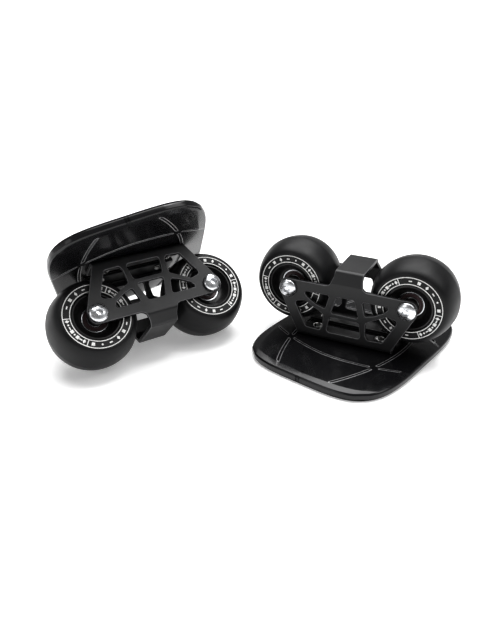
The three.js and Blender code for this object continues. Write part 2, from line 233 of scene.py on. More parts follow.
# ---- materials ----
def tyre_material():
    """Cast urethane: matte black, with faint turning lines round the tread and a dusty bloom."""
    s = Shader("cast_urethane", (0.008, 0.008, 0.009), 0.42, specular=0.28)
    rings = s.node("ShaderNodeTexWave", wave_type="BANDS", bands_direction="Y")
    rings.inputs["Scale"].default_value = 420
    rings.inputs["Distortion"].default_value = 1.2
    rings.inputs["Detail Scale"].default_value = 2
    s.link(s.place(), rings.inputs["Vector"])
    cloud = s.noise(60, 5)
    grain = s.noise(1600, 2)
    s.set("Base Color", s.blend(cloud, (0.005, 0.005, 0.0055), (0.011, 0.011, 0.012)))
    s.set("Roughness", s.span(cloud, 0.3, 0.7, 0.36, 0.48))
    height = s.math("ADD", s.math("MULTIPLY", rings.outputs["Fac"], 0.35), s.math("MULTIPLY", grain, 0.3))
    s.bump(height, 0.35, 0.05)
    return s.material


def print_material():
    """White pad print: slightly uneven ink, thin at its edges."""
    s = Shader("white_pad_print", (0.8, 0.8, 0.78), 0.5, specular=0.4)
    ink = s.noise(900, 3)
    s.set("Base Color", s.blend(s.span(ink, 0.3, 0.62, 1, 0), (0.86, 0.86, 0.85), (0.62, 0.62, 0.61)))
    s.bump(ink, 0.2, 0.02)
    return s.material


def core_material():
    """Moulded black nylon hub: fine flow texture, a touch warm."""
    s = Shader("hub_nylon", (0.008, 0.0075, 0.008), 0.38, specular=0.45)
    flow = s.noise(1.0, 4, where=s.stretched(400, 90, 400))
    s.set("Roughness", s.span(flow, 0.3, 0.7, 0.32, 0.5))
    s.bump(flow, 0.15, 0.04)
    return s.material


def seal_material():
    """Rubber bearing seal, dark red-brown, with a moulded ring texture."""
    s = Shader("bearing_seal", (0.05, 0.028, 0.03), 0.42, specular=0.5)
    tone = s.noise(700, 3)
    s.set("Base Color", s.blend(tone, (0.036, 0.019, 0.021), (0.07, 0.042, 0.044)))
    s.bump(tone, 0.2, 0.03)
    return s.material


def steel_material():
    """Ground bearing steel with fine turning marks."""
    s = Shader("ground_steel", (0.6, 0.61, 0.63), 0.22, metallic=1)
    marks = s.noise(1.0, 3, where=s.stretched(60, 4200, 60))
    s.set("Roughness", s.span(marks, 0.3, 0.7, 0.16, 0.32))
    s.bump(marks, 0.1, 0.01)
    return s.material


def chrome_material():
    """Bright chrome plate, lightly brushed and pitted."""
    s = Shader("chrome_plate", (0.74, 0.75, 0.77), 0.24, metallic=1)
    hair = s.noise(1.0, 4, where=s.stretched(180, 2200, 900))
    s.set("Roughness", s.span(hair, 0.35, 0.75, 0.2, 0.34))
    pits = s.noise(900, 2)
    s.bump(s.math("ADD", hair, pits), 0.22, 0.05)
    return s.material


def bush_material():
    """Black anodised turned bush."""
    s = Shader("bush_anodised", (0.02, 0.018, 0.019), 0.34, metallic=0.7)
    marks = s.noise(1.0, 3, where=s.stretched(40, 3000, 40))
    s.set("Roughness", s.span(marks, 0.3, 0.7, 0.26, 0.42))
    s.bump(marks, 0.15, 0.02)
    return s.material


def frame_material():
    """Satin black anodised sheet: bead-blasted grain, and a painted highlight of paler colour along the
    bevelled edges.
    """
    s = Shader("frame_anodised", (0.009, 0.009, 0.01), 0.4, specular=0.5)
    grain = s.noise(2600, 2)
    cloud = s.noise(45, 4)
    tone = s.blend(cloud, (0.006, 0.006, 0.007), (0.013, 0.013, 0.014))
    # Painted highlight: the marked bevel faces are mixed towards pale grey, in place of edge highlights.
    s.set("Base Color", s.blend(s.painted_highlight(300), tone, (0.13, 0.13, 0.135)))
    s.set("Roughness", s.span(cloud, 0.3, 0.7, 0.36, 0.45))
    s.bump(grain, 0.25, 0.025)
    return s.material


def deck_material():
    """Gloss black powder coat with a very light orange peel, and a painted highlight of paler colour along
    the crests of its ribs.
    """
    s = Shader("deck_powder_coat", (0.006, 0.006, 0.007), 0.2, specular=0.35)
    s.bsdf.inputs["Coat Weight"].default_value = 0.2
    s.bsdf.inputs["Coat Roughness"].default_value = 0.08
    peel = s.noise(520, 2)
    cloud = s.noise(30, 4)
    tone = s.blend(cloud, (0.004, 0.004, 0.005), (0.008, 0.008, 0.009))
    # Painted highlight: the marked rib crests are mixed towards pale grey, in place of highlights on the
    # lips.
    s.set("Base Color", s.blend(s.painted_highlight(240), tone, (0.22, 0.22, 0.225)))
    s.set("Roughness", s.span(cloud, 0.3, 0.7, 0.17, 0.26))
    s.bump(peel, 0.02, 0.03)
    return s.material


def grip_material():
    """Grit grip sheet: coarse mineral grains that glint a little."""
    s = Shader("grip_grit", (0.012, 0.012, 0.012), 0.85, specular=0.4)
    grains = s.node("ShaderNodeTexVoronoi")
    grains.inputs["Scale"].default_value = 2100
    s.link(s.place(), grains.inputs["Vector"])
    glint = s.span(grains.outputs["Distance"], 0.0, 0.5, 1, 0)
    s.set("Base Color", s.blend(glint, (0.006, 0.006, 0.006), (0.045, 0.045, 0.046)))
    s.set("Roughness", s.span(glint, 0, 1, 0.95, 0.55))
    s.bump(glint, 0.9, 0.35)
    return s.material


def screw_material():
    """Zinc plated steel, slightly dulled."""
    s = Shader("zinc_plate", (0.58, 0.58, 0.57), 0.25, metallic=1)
    tone = s.noise(300, 4)
    s.set("Roughness", s.span(tone, 0.3, 0.7, 0.18, 0.36))
    s.bump(tone, 0.1, 0.02)
    return s.material


MATERIALS = {
    "urethane": tyre_material(),
    "print": print_material(),
    "wheel_core": core_material(),
    "seal": seal_material(),
    "bearing_steel": steel_material(),
    "chrome": chrome_material(),
    "bush_alloy": bush_material(),
    "frame_alloy": frame_material(),
    "deck_alloy": deck_material(),
    "grip": grip_material(),
    "screw_steel": screw_material(),
}


# ---- mesh helpers ----
def finish_piece(name, mesh, matrix, body, look, smooth_angle=35):
    """Makes an object from a mesh drawn in millimetres in the axes of matrix, riding on body.

    Each point's own place is kept as an attribute for the materials."""
    mesh.transform(Matrix.Scale(MM, 4))
    own = mesh.attributes.new("place", "FLOAT_VECTOR", "POINT")
    flat = [number for vertex in mesh.vertices for number in vertex.co]
    own.data.foreach_set("vector", flat)
    mesh.transform(matrix)
    mesh.materials.clear()
    mesh.materials.append(MATERIALS[look])
    mesh.update()
    piece = bpy.data.objects.new(name, mesh)
    bpy.context.scene.collection.objects.link(piece)
    shade(piece, smooth_angle)
    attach(piece, body)
    return piece


def shade(piece, smooth_angle):
    """Smooth shading that stays sharp across edges steeper than smooth_angle degrees."""
    mesh = piece.data
    mesh.shade_smooth()
    work = bmesh.new()
    work.from_mesh(mesh)
    limit = math.radians(smooth_angle)
    for edge in work.edges:
        edge.smooth = len(edge.link_faces) != 2 or edge.calc_face_angle(0) < limit
    work.to_mesh(mesh)
    work.free()
    weighted = piece.modifiers.new("weighted_normals", "WEIGHTED_NORMAL")
    weighted.keep_sharp = True


def from_bmesh(name, work):
    bmesh.ops.recalc_face_normals(work, faces=work.faces)
    mesh = bpy.data.meshes.new(name)
    work.to_mesh(mesh)
    work.free()
    return mesh


def lathe(name, profile, segments, closed=True):
    """Turns [radius, y] points about Y.

    A closed profile is a ring, an open one starts and ends on the axis."""
    work = bmesh.new()
    rings = []
    for radius, y in profile:
        if radius < 1e-6:
            rings.append([work.verts.new((0, y, 0))])
            continue
        ring = []
        for i in range(segments):
            angle = 2 * math.pi * i / segments
            ring.append(work.verts.new((radius * math.sin(angle), y, radius * math.cos(angle))))
        rings.append(ring)
    pairs = list(zip(rings, rings[1:]))
    if closed:
        pairs.append((rings[-1], rings[0]))
    for low, high in pairs:
        for i in range(segments):
            j = (i + 1) % segments
            corners = [low[i % len(low)], low[j % len(low)], high[j % len(high)], high[i % len(high)]]
            unique = list(dict.fromkeys(corners))
            if len(unique) > 2:
                work.faces.new(unique)
    return from_bmesh(name, work)


def rounded(points, radius, steps=3):
    """Rounds each corner of a closed [r, y] profile with a small arc."""
    count = len(points)
    result = []
    for i, here in enumerate(points):
        here = Vector(here)
        before = Vector(points[i - 1]) - here
        after = Vector(points[(i + 1) % count]) - here
        reach = min(radius, before.length * 0.45, after.length * 0.45)
        before = before.normalized() * reach
        after = after.normalized() * reach
        for step in range(steps + 1):
            t = step / steps
            point = here + before * (1 - t) ** 2 + after * t ** 2
            result.append((point.x, point.y))
    return result


def mirrored(points):
    return [(r, -y) for r, y in reversed(points)]


# ---- wheels ----
def tread(steps):
    """The round tread as [radius, y] points, from the middle to the edge of the flat side."""
    reach = WHEEL_HALF_WIDTH + BARREL_SHIFT
    first = math.asin(BARREL_SHIFT / reach)
    swell = (WHEEL_RADIUS - SIDE_BAND_OUTER) / math.cos(first)
    points = []
    for i in range(steps + 1):
        t = first + (math.pi / 2 - first) * i / steps
        points.append((SIDE_BAND_OUTER + swell * math.cos(t), reach * math.sin(t) - BARREL_SHIFT))
    return points


def make_tyre(skate, end):
    name = f"{skate}_{end}_tyre"
    half = WHEEL_HALF_WIDTH
    edge = 0.5
    eased = edge * 0.3
    bore = [(HUB_RADIUS + edge, half), (HUB_RADIUS + eased, half - eased), (HUB_RADIUS, half - edge)]
    upper = tread(28) + [(SIDE_BAND_OUTER - 0.4, half)] + bore
    mesh = lathe(f"{name}_skin", upper + mirrored(upper)[:-1], 144)
    body = f"{skate}_{end}_wheel"
    piece = finish_piece(f"{name}_skin", mesh, wheel_matrix(skate, end), body, "urethane")
    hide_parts(name)


def ring_patch(work, inner, outer, low, high, start, stop, steps):
    """A slab of part of a flat ring, between two radii, two heights and two angles."""
    columns = []
    whole = abs(stop - start) > 2 * math.pi - 1e-6
    for i in range(steps + (0 if whole else 1)):
        angle = start + (stop - start) * i / steps
        across = (math.sin(angle), math.cos(angle))
        corners = [(inner, low), (outer, low), (outer, high), (inner, high)]
        columns.append([work.verts.new((r * across[0], y, r * across[1])) for r, y in corners])
    pairs = list(zip(columns, columns[1:]))
    if whole:
        pairs.append((columns[-1], columns[0]))
    else:
        work.faces.new(columns[0])
        work.faces.new(columns[-1])
    for here, there in pairs:
        for k in range(4):
            work.faces.new((here[k], here[(k + 1) % 4], there[(k + 1) % 4], there[k]))


# Plain shapes for the band, none of them letters: corners in shares of the mark's width and height.
DOT_TURNS = [k * math.pi / 5 for k in range(10)]
MARKS = {
    "square": [(0, 0.14), (1, 0.14), (1, 0.86), (0, 0.86)],
    "diamond": [(0.5, 0), (1, 0.5), (0.5, 1), (0, 0.5)],
    "dash": [(0, 0.36), (1, 0.36), (1, 0.64), (0, 0.64)],
    "dot": [(0.5 + 0.3 * math.cos(turn), 0.5 + 0.22 * math.sin(turn)) for turn in DOT_TURNS],
}
LONG_RUN = ("square", "dot", "dash", "diamond", "square", "dash")
SHORT_RUN = ("diamond", "dot", "dash", "square", "dot", "square", "dash", "diamond")
MARK_INNER = 21.9
MARK_OUTER = 25.6
MARK_WIDTH = 2.4
SHORT_START = 6
SHORT_STEP = 7.1
LONG_START = 73
LONG_STEP = 17
DIVIDERS = (0, 62, 180, 242)


def add_mark(work, mark, middle, low, high):
    """Draws one mark of the band as a thin slab, centred on an angle."""
    corners = []
    for across, up in MARKS[mark]:
        radius = MARK_INNER + (MARK_OUTER - MARK_INNER) * up
        angle = middle + (across - 0.5) * MARK_WIDTH / MARK_INNER
        corners.append((radius * math.sin(angle), radius * math.cos(angle)))
    bottom = [work.verts.new((x, low, z)) for x, z in corners]
    top = [work.verts.new((x, high, z)) for x, z in corners]
    work.faces.new(bottom)
    work.faces.new(top)
    for k in range(len(corners)):
        n = (k + 1) % len(corners)
        work.faces.new((bottom[k], bottom[n], top[n], top[k]))


def make_print(skate, end, side, turn):
    """The printed band on one side of a wheel: two circles, dividers and generic marks."""
    work = bmesh.new()
    low = WHEEL_HALF_WIDTH + 0.005
    high = WHEEL_HALF_WIDTH + 0.045
    line = 0.7
    inner = HUB_RADIUS + 0.6
    outer = SIDE_BAND_OUTER - 0.5
    full = 2 * math.pi
    ring_patch(work, inner, inner + line, low, high, 0, full, 144)
    ring_patch(work, outer - line, outer, low, high, 0, full, 144)
    divider = line / 24
    for degrees in DIVIDERS:
        angle = math.radians(degrees)
        ring_patch(work, inner + line, outer - line, low, high, angle, angle + divider, 2)
    for start in (0, 180):
        for i, mark in enumerate(SHORT_RUN):
            add_mark(work, mark, math.radians(start + SHORT_START + i * SHORT_STEP), low, high)
        for i, mark in enumerate(LONG_RUN):
            add_mark(work, mark, math.radians(start + LONG_START + i * LONG_STEP), low, high)
    mesh = from_bmesh("band", work)
    mesh.transform(Matrix.Rotation(turn, 4, "Y"))
    if side < 0:
        mesh.transform(Matrix.Rotation(math.pi, 4, "Z"))
    where = "toe" if side > 0 else "heel"
    name = f"{skate}_{end}_band_{where}"
    body = f"{skate}_{end}_wheel"
    return finish_piece(name, mesh, wheel_matrix(skate, end), body, "print", 20)


def make_core(skate, end):
    name = f"{skate}_{end}_wheel_core"
    outside = HUB_RADIUS - 0.3
    rim = WHEEL_HALF_WIDTH - 0.95
    seat = BEARING_RADIUS + 0.1
    dish = []
    steps = 10
    for i in range(steps + 1):
        t = i / steps
        radius = outside - 1.6 + (seat + 0.7 - outside + 1.6) * t
        dish.append((radius, rim - (rim - BEARING_FACE - 0.5) * math.sin(t * math.pi / 2) ** 0.8))
    upper = [(outside, rim - 0.4), (outside - 0.4, rim)] + dish
    upper += [(seat, BEARING_FACE + 0.2), (seat, 6), (seat - 1.6, 6)]
    mesh = lathe(f"{name}_skin", upper + mirrored(upper), 96)
    body = f"{skate}_{end}_wheel"
    matrix = wheel_matrix(skate, end)
    piece = finish_piece(f"{name}_skin", mesh, matrix, body, "wheel_core", 50)
    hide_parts(name)


def make_bearing(skate, end, side):
    where = "toe" if side > 0 else "heel"
    base = f"{skate}_{end}_bearing_{where}"
    matrix = wheel_matrix(skate, end)
    body = f"{skate}_{end}_wheel"
    face = BEARING_FACE
    back = BEARING_FACE - BEARING_WIDTH
    wall = BEARING_RADIUS - 1.3
    ring = rounded([(BEARING_RADIUS, back), (BEARING_RADIUS, face), (wall, face), (wall, back)], 0.35)
    seal = [
        (wall - 0.05, face - 0.25),
        (wall - 0.5, face - 0.1),
        (wall - 0.9, face - 0.35),
        (RACE_RADIUS + 1.4, face - 0.4),
        (RACE_RADIUS + 1.1, face - 0.2),
        (RACE_RADIUS + 0.5, face - 0.2),
        (RACE_RADIUS + 0.35, face - 0.7),
        (wall - 0.05, face - 0.9),
    ]
    race_corners = [(RACE_RADIUS, back), (RACE_RADIUS, face), (BORE_RADIUS, face), (BORE_RADIUS, back)]
    race = rounded(race_corners, 0.3)
    for part, profile, look, rides, slot in (
        ("outer_race", ring, "bearing_steel", body, "bearing_steel"),
        ("seal", seal, "seal", body, "bearing_steel"),
        ("inner_race", race, "bearing_steel", f"{skate}_skate", "bearing_steel"),
    ):
        mesh = lathe(f"{base}_{part}_skin", profile, 72)
        if side < 0:
            mesh.transform(Matrix.Rotation(math.pi, 4, "Z"))
        finish_piece(f"{base}_{part}_skin", mesh, matrix, rides, look, 40)
    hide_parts(f"{base}_outer_race")
    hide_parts(f"{base}_inner_race")


def make_bush(skate, end, side):
    where = "toe" if side > 0 else "heel"
    name = f"{skate}_{end}_axle_bush_{where}"
    low = BEARING_FACE + 0.3
    high = PLATE_OUTSIDE - SHEET - 0.3
    step = low + 1.6
    profile = rounded(
        [
            (RACE_RADIUS, low),
            (RACE_RADIUS, step),
            (RACE_RADIUS - 0.5, step + 0.5),
            (RACE_RADIUS - 0.5, high - 1.5),
            (RACE_RADIUS, high - 1),
            (RACE_RADIUS, high),
            (BORE_RADIUS, high),
            (BORE_RADIUS, low),
        ],
        0.3,
    )
    mesh = lathe(f"{name}_skin", profile, 64)
    if side < 0:
        mesh.transform(Matrix.Rotation(math.pi, 4, "Z"))
    matrix = wheel_matrix(skate, end)
    piece = finish_piece(f"{name}_skin", mesh, matrix, f"{skate}_skate", "bush_alloy", 40)
    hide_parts(name)


# ---- domed socket heads ----
def socket_head(work, radius, seat, height, rim, socket, depth, segments=60):
    """Outside of a domed head about Y, rising from seat, with a hexagon socket in its top.

    Returns the open ring at the seat, for close_with_shank."""
    corner = socket / math.sqrt(3)
    rows = []

    def ring(shape):
        rows.append([work.verts.new(shape(2 * math.pi * i / segments)) for i in range(segments)])

    def hexagon(angle, size):
        sector = (angle + math.pi / 6) % (math.pi / 3) - math.pi / 6
        return size * math.cos(math.pi / 6) / math.cos(sector)

    def circle(r, y):
        ring(lambda a: (r * math.sin(a), y, r * math.cos(a)))

    def hex_ring(size, y):
        ring(lambda a: (hexagon(a, size) * math.sin(a), y, hexagon(a, size) * math.cos(a)))

    dome = height - rim
    circle(radius - 0.25, seat)
    circle(radius, seat + 0.25)
    circle(radius, seat + rim - 0.2)
    for share in (0.985, 0.95, 0.9, 0.83, 0.75, 0.66, 0.57):
        circle(radius * share, seat + rim + dome * math.sqrt(1 - share * share))
    mouth = seat + rim + dome * math.sqrt(1 - (corner / radius) ** 2)
    hex_ring(corner + 0.35, mouth + 0.02)
    hex_ring(corner, mouth - 0.3)
    hex_ring(corner, seat + height - depth)
    bottom = work.verts.new((0, seat + height - depth - corner * 0.35, 0))
    for low, high in zip(rows, rows[1:]):
        for i in range(segments):
            j = (i + 1) % segments
            work.faces.new((low[i], low[j], high[j], high[i]))
    last = rows[-1]
    for i in range(segments):
        work.faces.new((last[i], last[(i + 1) % segments], bottom))
    return rows[0]


def close_with_shank(work, ring, shank, seat, end, segments=60):
    """Joins the head's open ring to a shank that runs to a flat end."""
    levels = [(shank, seat), (shank, end + 0.4), (shank - 0.4, end)]
    rows = [ring]
    for radius, y in levels:
        row = []
        for i in range(segments):
            angle = 2 * math.pi * i / segments
            row.append(work.verts.new((radius * math.sin(angle), y, radius * math.cos(angle))))
        rows.append(row)
    for low, high in zip(rows, rows[1:]):
        for i in range(segments):
            j = (i + 1) % segments
            work.faces.new((low[i], low[j], high[j], high[i]))
    work.faces.new(rows[-1])


def make_axle(skate, end):
    matrix = wheel_matrix(skate, end)
    parts = (("sleeve", 1, SLEEVE_RADIUS, -PLATE_OUTSIDE), ("screw", -1, THREAD_RADIUS, SCREW_END))
    for part, side, shank, stop in parts:
        name = f"{skate}_{end}_axle_{part}"
        work = bmesh.new()
        height = HEAD_HEIGHT - 0.05
        ring = socket_head(work, HEAD_RADIUS, HEAD_SEAT, height, HEAD_RIM, HEAD_SOCKET, HEAD_SOCKET_DEPTH)
        close_with_shank(work, ring, shank, HEAD_SEAT, stop)
        mesh = from_bmesh(f"{name}_skin", work)
        if side < 0:
            mesh.transform(Matrix.Rotation(math.pi, 4, "X"))
        piece = finish_piece(f"{name}_skin", mesh, matrix, f"{skate}_skate", "chrome", 40)
        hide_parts(name)


def make_deck_screws(skate):
    """Four button-head screws under the flanges, heads down."""
    places = [(x, y) for x in (SCREW_X, -SCREW_X) for y in (SCREW_Y, -SCREW_Y)]
    for number, (x, y) in enumerate(places, 1):
        name = f"{skate}_deck_screw_{number}"
        work = bmesh.new()
        head = (BUTTON_RADIUS, 0, BUTTON_HEIGHT, BUTTON_RIM, BUTTON_SOCKET, BUTTON_SOCKET_DEPTH)
        ring = socket_head(work, *head, BUTTON_SEGMENTS)
        close_with_shank(work, ring, BUTTON_SHANK, 0, -BUTTON_LENGTH, BUTTON_SEGMENTS)
        mesh = from_bmesh(f"{name}_skin", work)
        mesh.transform(Matrix.Translation((x, y, SCREW_SEAT)) @ Matrix.Rotation(-math.pi / 2, 4, "X"))
        matrix = skate_matrix(skate)
        body = f"{skate}_skate"
        piece = finish_piece(f"{name}_skin", mesh, matrix, body, "screw_steel", 40)
        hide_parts(name)


# ---- the folded frame ----
def fillet_path(points, radius, steps):
    """A polyline with its inner corners rounded to arcs. Returns [y, z] points."""
    path = [Vector(points[0])]
    for before, here, after in zip(points, points[1:], points[2:]):
        here = Vector(here)
        towards_before = (Vector(before) - here).normalized()
        towards_after = (Vector(after) - here).normalized()
        half = towards_before.angle(towards_after) / 2
        reach = radius / math.tan(half)
        centre = here + (towards_before + towards_after).normalized() * (radius / math.sin(half))
        start = here + towards_before * reach - centre
        stop = here + towards_after * reach - centre
        whole = start.angle_signed(stop)
        for i in range(steps + 1):
            path.append(centre + Matrix.Rotation(-whole * i / steps, 2) @ start)
    path.append(Vector(points[-1]))
    return path


class Fold:
    """Maps a point of the flat blank to the bent sheet, along the middle of the sheet's thickness."""

    def __init__(self):
        half = SHEET / 2
        slope = Vector((PLATE_OUTSIDE - STRAP_FLAT, FOLD_HIGH - FOLD_LOW)).normalized()
        normal = Vector((slope.y, -slope.x))
        on_slope = Vector((STRAP_FLAT, FOLD_LOW)) - normal * half
        low = self.meet((0, FOLD_LOW + half), (1, 0), on_slope, slope)
        high = self.meet(on_slope, slope, (PLATE_OUTSIDE - half, 0), (0, 1))
        corner = (PLATE_OUTSIDE - half, CHANNEL_TOP - half)
        ends = [(0, FOLD_LOW + half), tuple(low), tuple(high), corner, (FLANGE_EDGE, CHANNEL_TOP - half)]
        self.path = fillet_path(ends, 2.6, 8)
        self.stations = [0]
        for here, there in zip(self.path, self.path[1:]):
            self.stations.append(self.stations[-1] + (there - here).length)

    @staticmethod
    def meet(a, along_a, b, along_b):
        """Where two lines of the section cross."""
        a, along_a, b, along_b = Vector(a), Vector(along_a), Vector(b), Vector(along_b)
        t = (b - a).cross(along_b) / along_a.cross(along_b)
        return a + along_a * t

    def station(self, want):
        """Distance along the path to the first point whose height reaches want, on the way up the side."""
        for i, (here, there) in enumerate(zip(self.path, self.path[1:])):
            if here.y <= want <= there.y and there.y > here.y:
                share = (want - here.y) / (there.y - here.y)
                return self.stations[i] + share * (self.stations[i + 1] - self.stations[i])
        raise ValueError("the side plate does not reach that height")

    def flange(self, y):
        """Distance along the path to a point of the flange that far from the middle."""
        return self.stations[-1] - (y - FLANGE_EDGE)

    def bend(self, s, offset):
        """The [y, z] point at distance s along the path and offset outside its middle."""
        side = 1 if s >= 0 else -1
        s = min(abs(s), self.stations[-1])
        i = 0
        while i + 2 < len(self.stations) and self.stations[i + 1] < s:
            i += 1
        here, there = self.path[i], self.path[i + 1]
        share = (s - self.stations[i]) / (self.stations[i + 1] - self.stations[i])
        normal = self.normal_at(i).lerp(self.normal_at(i + 1), share).normalized()
        point = here.lerp(there, share) + normal * offset
        return side * point.x, point.y

    def normal_at(self, i):
        """Outward normal at a path point, shared by the two stretches that meet there."""
        total = Vector((0, 0))
        for here, there in ((i - 1, i), (i, i + 1)):
            if here >= 0 and there < len(self.path):
                along = (self.path[there] - self.path[here]).normalized()
                total += Vector((along.y, -along.x))
        return total.normalized()


def rounded_corners(corners, steps=6):
    """A closed outline from [x, y, corner radius] values, each corner an arc."""
    points = []
    count = len(corners)
    for i, (x, y, radius) in enumerate(corners):
        here = Vector((x, y))
        before = Vector(corners[i - 1][:2]) - here
        after = Vector(corners[(i + 1) % count][:2]) - here
        half = before.angle(after) / 2
        reach = min(radius / math.tan(half), before.length * 0.48, after.length * 0.48)
        radius = reach * math.tan(half)
        centre = here + (before.normalized() + after.normalized()).normalized() * (radius / math.sin(half))
        start = here + before.normalized() * reach - centre
        stop = here + after.normalized() * reach - centre
        whole = start.angle_signed(stop)
        for step in range(steps + 1):
            points.append(centre + Matrix.Rotation(-whole * step / steps, 2) @ start)
    return points


def circle(x, y, radius, count=36):
    turns = [2 * math.pi * i / count for i in range(count)]
    return [Vector((x + radius * math.cos(turn), y + radius * math.sin(turn))) for turn in turns]


# Windows in the plates, front half and middle: each corner is (x, z, radius).
UPPER_WINDOW = [
    (34, 33.5, 2.5),
    (21, 34.2, 2.5),
    (18.8, 30, 2),
    (18.6, 18.6, 2),
    (35.5, 9.2, 2),
    (45, 11.5, 2.5),
]
LOWER_WINDOW = [
    (35.8, 2.8, 1.2),
    (35.2, 0.5, 0.6),
    (14, 0.4, 1.8),
    (17.4, 13.4, 2),
    (25, 10.8, 3),
    (33, 6.2, 2),
]
MIDDLE_UPPER = [(15.2, 34.6, 2.5), (12.8, 20, 2.5), (-12.8, 20, 2.5), (-15.2, 34.6, 2.5)]
MIDDLE_LOWER = [(12.3, 16.4, 2), (7.4, 0.4, 1.8), (-7.4, 0.4, 1.8), (-12.3, 16.4, 2)]


def frame_outlines(fold):
    """The outline of the flat blank and its holes, as [x, s] loops."""
    axle = AXLE_SPACING / 2
    strap = STRAP_HALF
    end = fold.stations[-1]
    side = [
        (strap, fold.station(FOLD_HIGH - 4), 6),
        (strap + 2.2, fold.station(-BOSS_RADIUS), 7),
        (axle + BOSS_RADIUS - 0.8, fold.station(-BOSS_RADIUS), 7),
        (axle + BOSS_RADIUS - 0.3, fold.station(4), 4),
        (SHOULDER_X, fold.station(SHOULDER_Z), 2),
        (SHOULDER_X, end, 2),
    ]
    quarter = side + [(-x, s, r) for x, s, r in reversed(side)]
    loops = [rounded_corners(quarter + [(-x, -s, r) for x, s, r in quarter])]
    windows = [MIDDLE_UPPER, MIDDLE_LOWER]
    for corners in (UPPER_WINDOW, LOWER_WINDOW):
        windows += [corners, [(-x, z, r) for x, z, r in corners]]
    for way in (1, -1):
        for corners in windows:
            loops.append(rounded_corners([(x, way * fold.station(z), r) for x, z, r in corners]))
        for x in (axle, -axle):
            loops.append(circle(x, way * fold.station(0), BORE_RADIUS + 0.3))
        for x in (SCREW_X, -SCREW_X):
            loops.append(circle(x, way * fold.flange(SCREW_Y), 2.8, 24))
    return loops


def make_frame(skate, fold, loops):
    edge = 0.5
    curve = bpy.data.curves.new("blank", "CURVE")
    curve.dimensions = "2D"
    curve.fill_mode = "BOTH"
    curve.extrude = SHEET / 2 - edge
    curve.bevel_depth = edge
    curve.bevel_resolution = 2
    curve.offset = -edge
    for points in loops:
        spline = curve.splines.new("POLY")
        spline.points.add(len(points) - 1)
        spline.points.foreach_set("co", [number for point in points for number in (*point, 0, 1)])
        spline.use_cyclic_u = True
    blank = bpy.data.objects.new("blank", curve)
    bpy.context.scene.collection.objects.link(blank)
    bpy.context.view_layer.update()
    mesh = bpy.data.meshes.new_from_object(blank.evaluated_get(bpy.context.evaluated_depsgraph_get()))
    bpy.data.objects.remove(blank)
    work = bmesh.new()
    work.from_mesh(mesh)
    bmesh.ops.remove_doubles(work, verts=work.verts, dist=0.001)
    work.normal_update()
    # Marks the bevelled edge faces of the blank for the painted highlight along the sheet's edges.
    painted_highlight = work.faces.layers.float.new("painted_highlight")
    for face in work.faces:
        face[painted_highlight] = 1.0 if 0.2 < abs(face.normal.z) < 0.97 else 0.0
    for station in fold.stations[1:-1]:
        for way in (1, -1):
            whole = list(work.verts) + list(work.edges) + list(work.faces)
            where = (0, way * station, 0)
            bmesh.ops.bisect_plane(work, geom=whole, dist=0.0001, plane_co=where, plane_no=(0, 1, 0))
    for vertex in work.verts:
        x, s, offset = vertex.co
        y, z = fold.bend(s, offset)
        vertex.co = (x, y, z)
    bmesh.ops.dissolve_degenerate(work, edges=work.edges, dist=0.0005)
    mesh = from_bmesh(f"{skate}_frame_skin", work)
    piece = finish_piece(
        f"{skate}_frame_skin", mesh, skate_matrix(skate), f"{skate}_skate", "frame_alloy", 30
    )
    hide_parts(f"{skate}_frame")


# ---- the deck ----
ARC_A = 0.69
LINE_B = 0.54
ARC_BOW = 0.31
ARC_BOW_POWER = 2.3
LINE_BOW = 0.16
GROOVE_HALF = 0.75
GROOVE_DEPTH = 0.7
LIP_REACH = 0.8
LIP_HEIGHT = 0.3
SIDE_DISH = 0.7


def superellipse(u, v, half_width, half_length):
    """Maps a square's point to the deck's outline, edge to edge and smoothly between."""
    x = u * (1 - abs(v) ** DECK_POWER / 2) ** (1 / DECK_POWER)
    y = v * (1 - abs(u) ** DECK_POWER / 2) ** (1 / DECK_POWER)
    return x * half_width, y * half_length


def inset_at(x, y):
    """How far inside the deck's outline a point lies, measured as the outline shrinks."""
    low, high = 0.0, DECK_HALF_WIDTH - 0.01
    for _ in range(30):
        middle = (low + high) / 2
        across = abs(x / (DECK_HALF_WIDTH - middle))
        along = abs(y / (DECK_HALF_LENGTH - middle))
        reach = across**DECK_POWER + along**DECK_POWER
        if reach > 1:
            high = middle
        else:
            low = middle
    return low


def warp(value, line, target):
    """Slides the grid so that its line at +-line lies at +-target, smoothly and with the ends fixed."""
    size = abs(value)
    bend = (target - line) / (line * (1 - line))
    return math.copysign(size + bend * size * (1 - size), value)


def deck_point(a, b):
    u = warp(a, ARC_A, ARC_A - ARC_BOW * abs(b) ** ARC_BOW_POWER)
    v = warp(b, LINE_B, LINE_B - LINE_BOW * a * a)
    return superellipse(u, v, DECK_HALF_WIDTH - DECK_EDGE, DECK_HALF_LENGTH - DECK_EDGE)


def grid_lines(line, per_mm, ends):
    """Grid values from -1 to 1, close together at the groove and at the crossing grooves' ends."""
    values = {0.0, 1.0}
    for offset in (0, 0.25, 0.45, 0.6, 0.75, 0.9, 1.05, 1.2, 1.35, 1.5, 1.9, 2.6):
        values |= {line - offset * per_mm, line + offset * per_mm}
    for end in ends:
        for offset in (-1.5, -1.1, -0.75, -0.35, 0, 0.35, 0.75, 1.1, 1.5):
            values.add(end + offset * per_mm)
    ordered = sorted(value for value in values if 0 <= value <= 1)
    filled = []
    for here, there in zip(ordered, ordered[1:]):
        count = max(1, round((there - here) / (3.2 * per_mm)))
        filled += [here + (there - here) * i / count for i in range(count)]
    filled.append(1.0)
    return [-value for value in reversed(filled[1:])] + filled


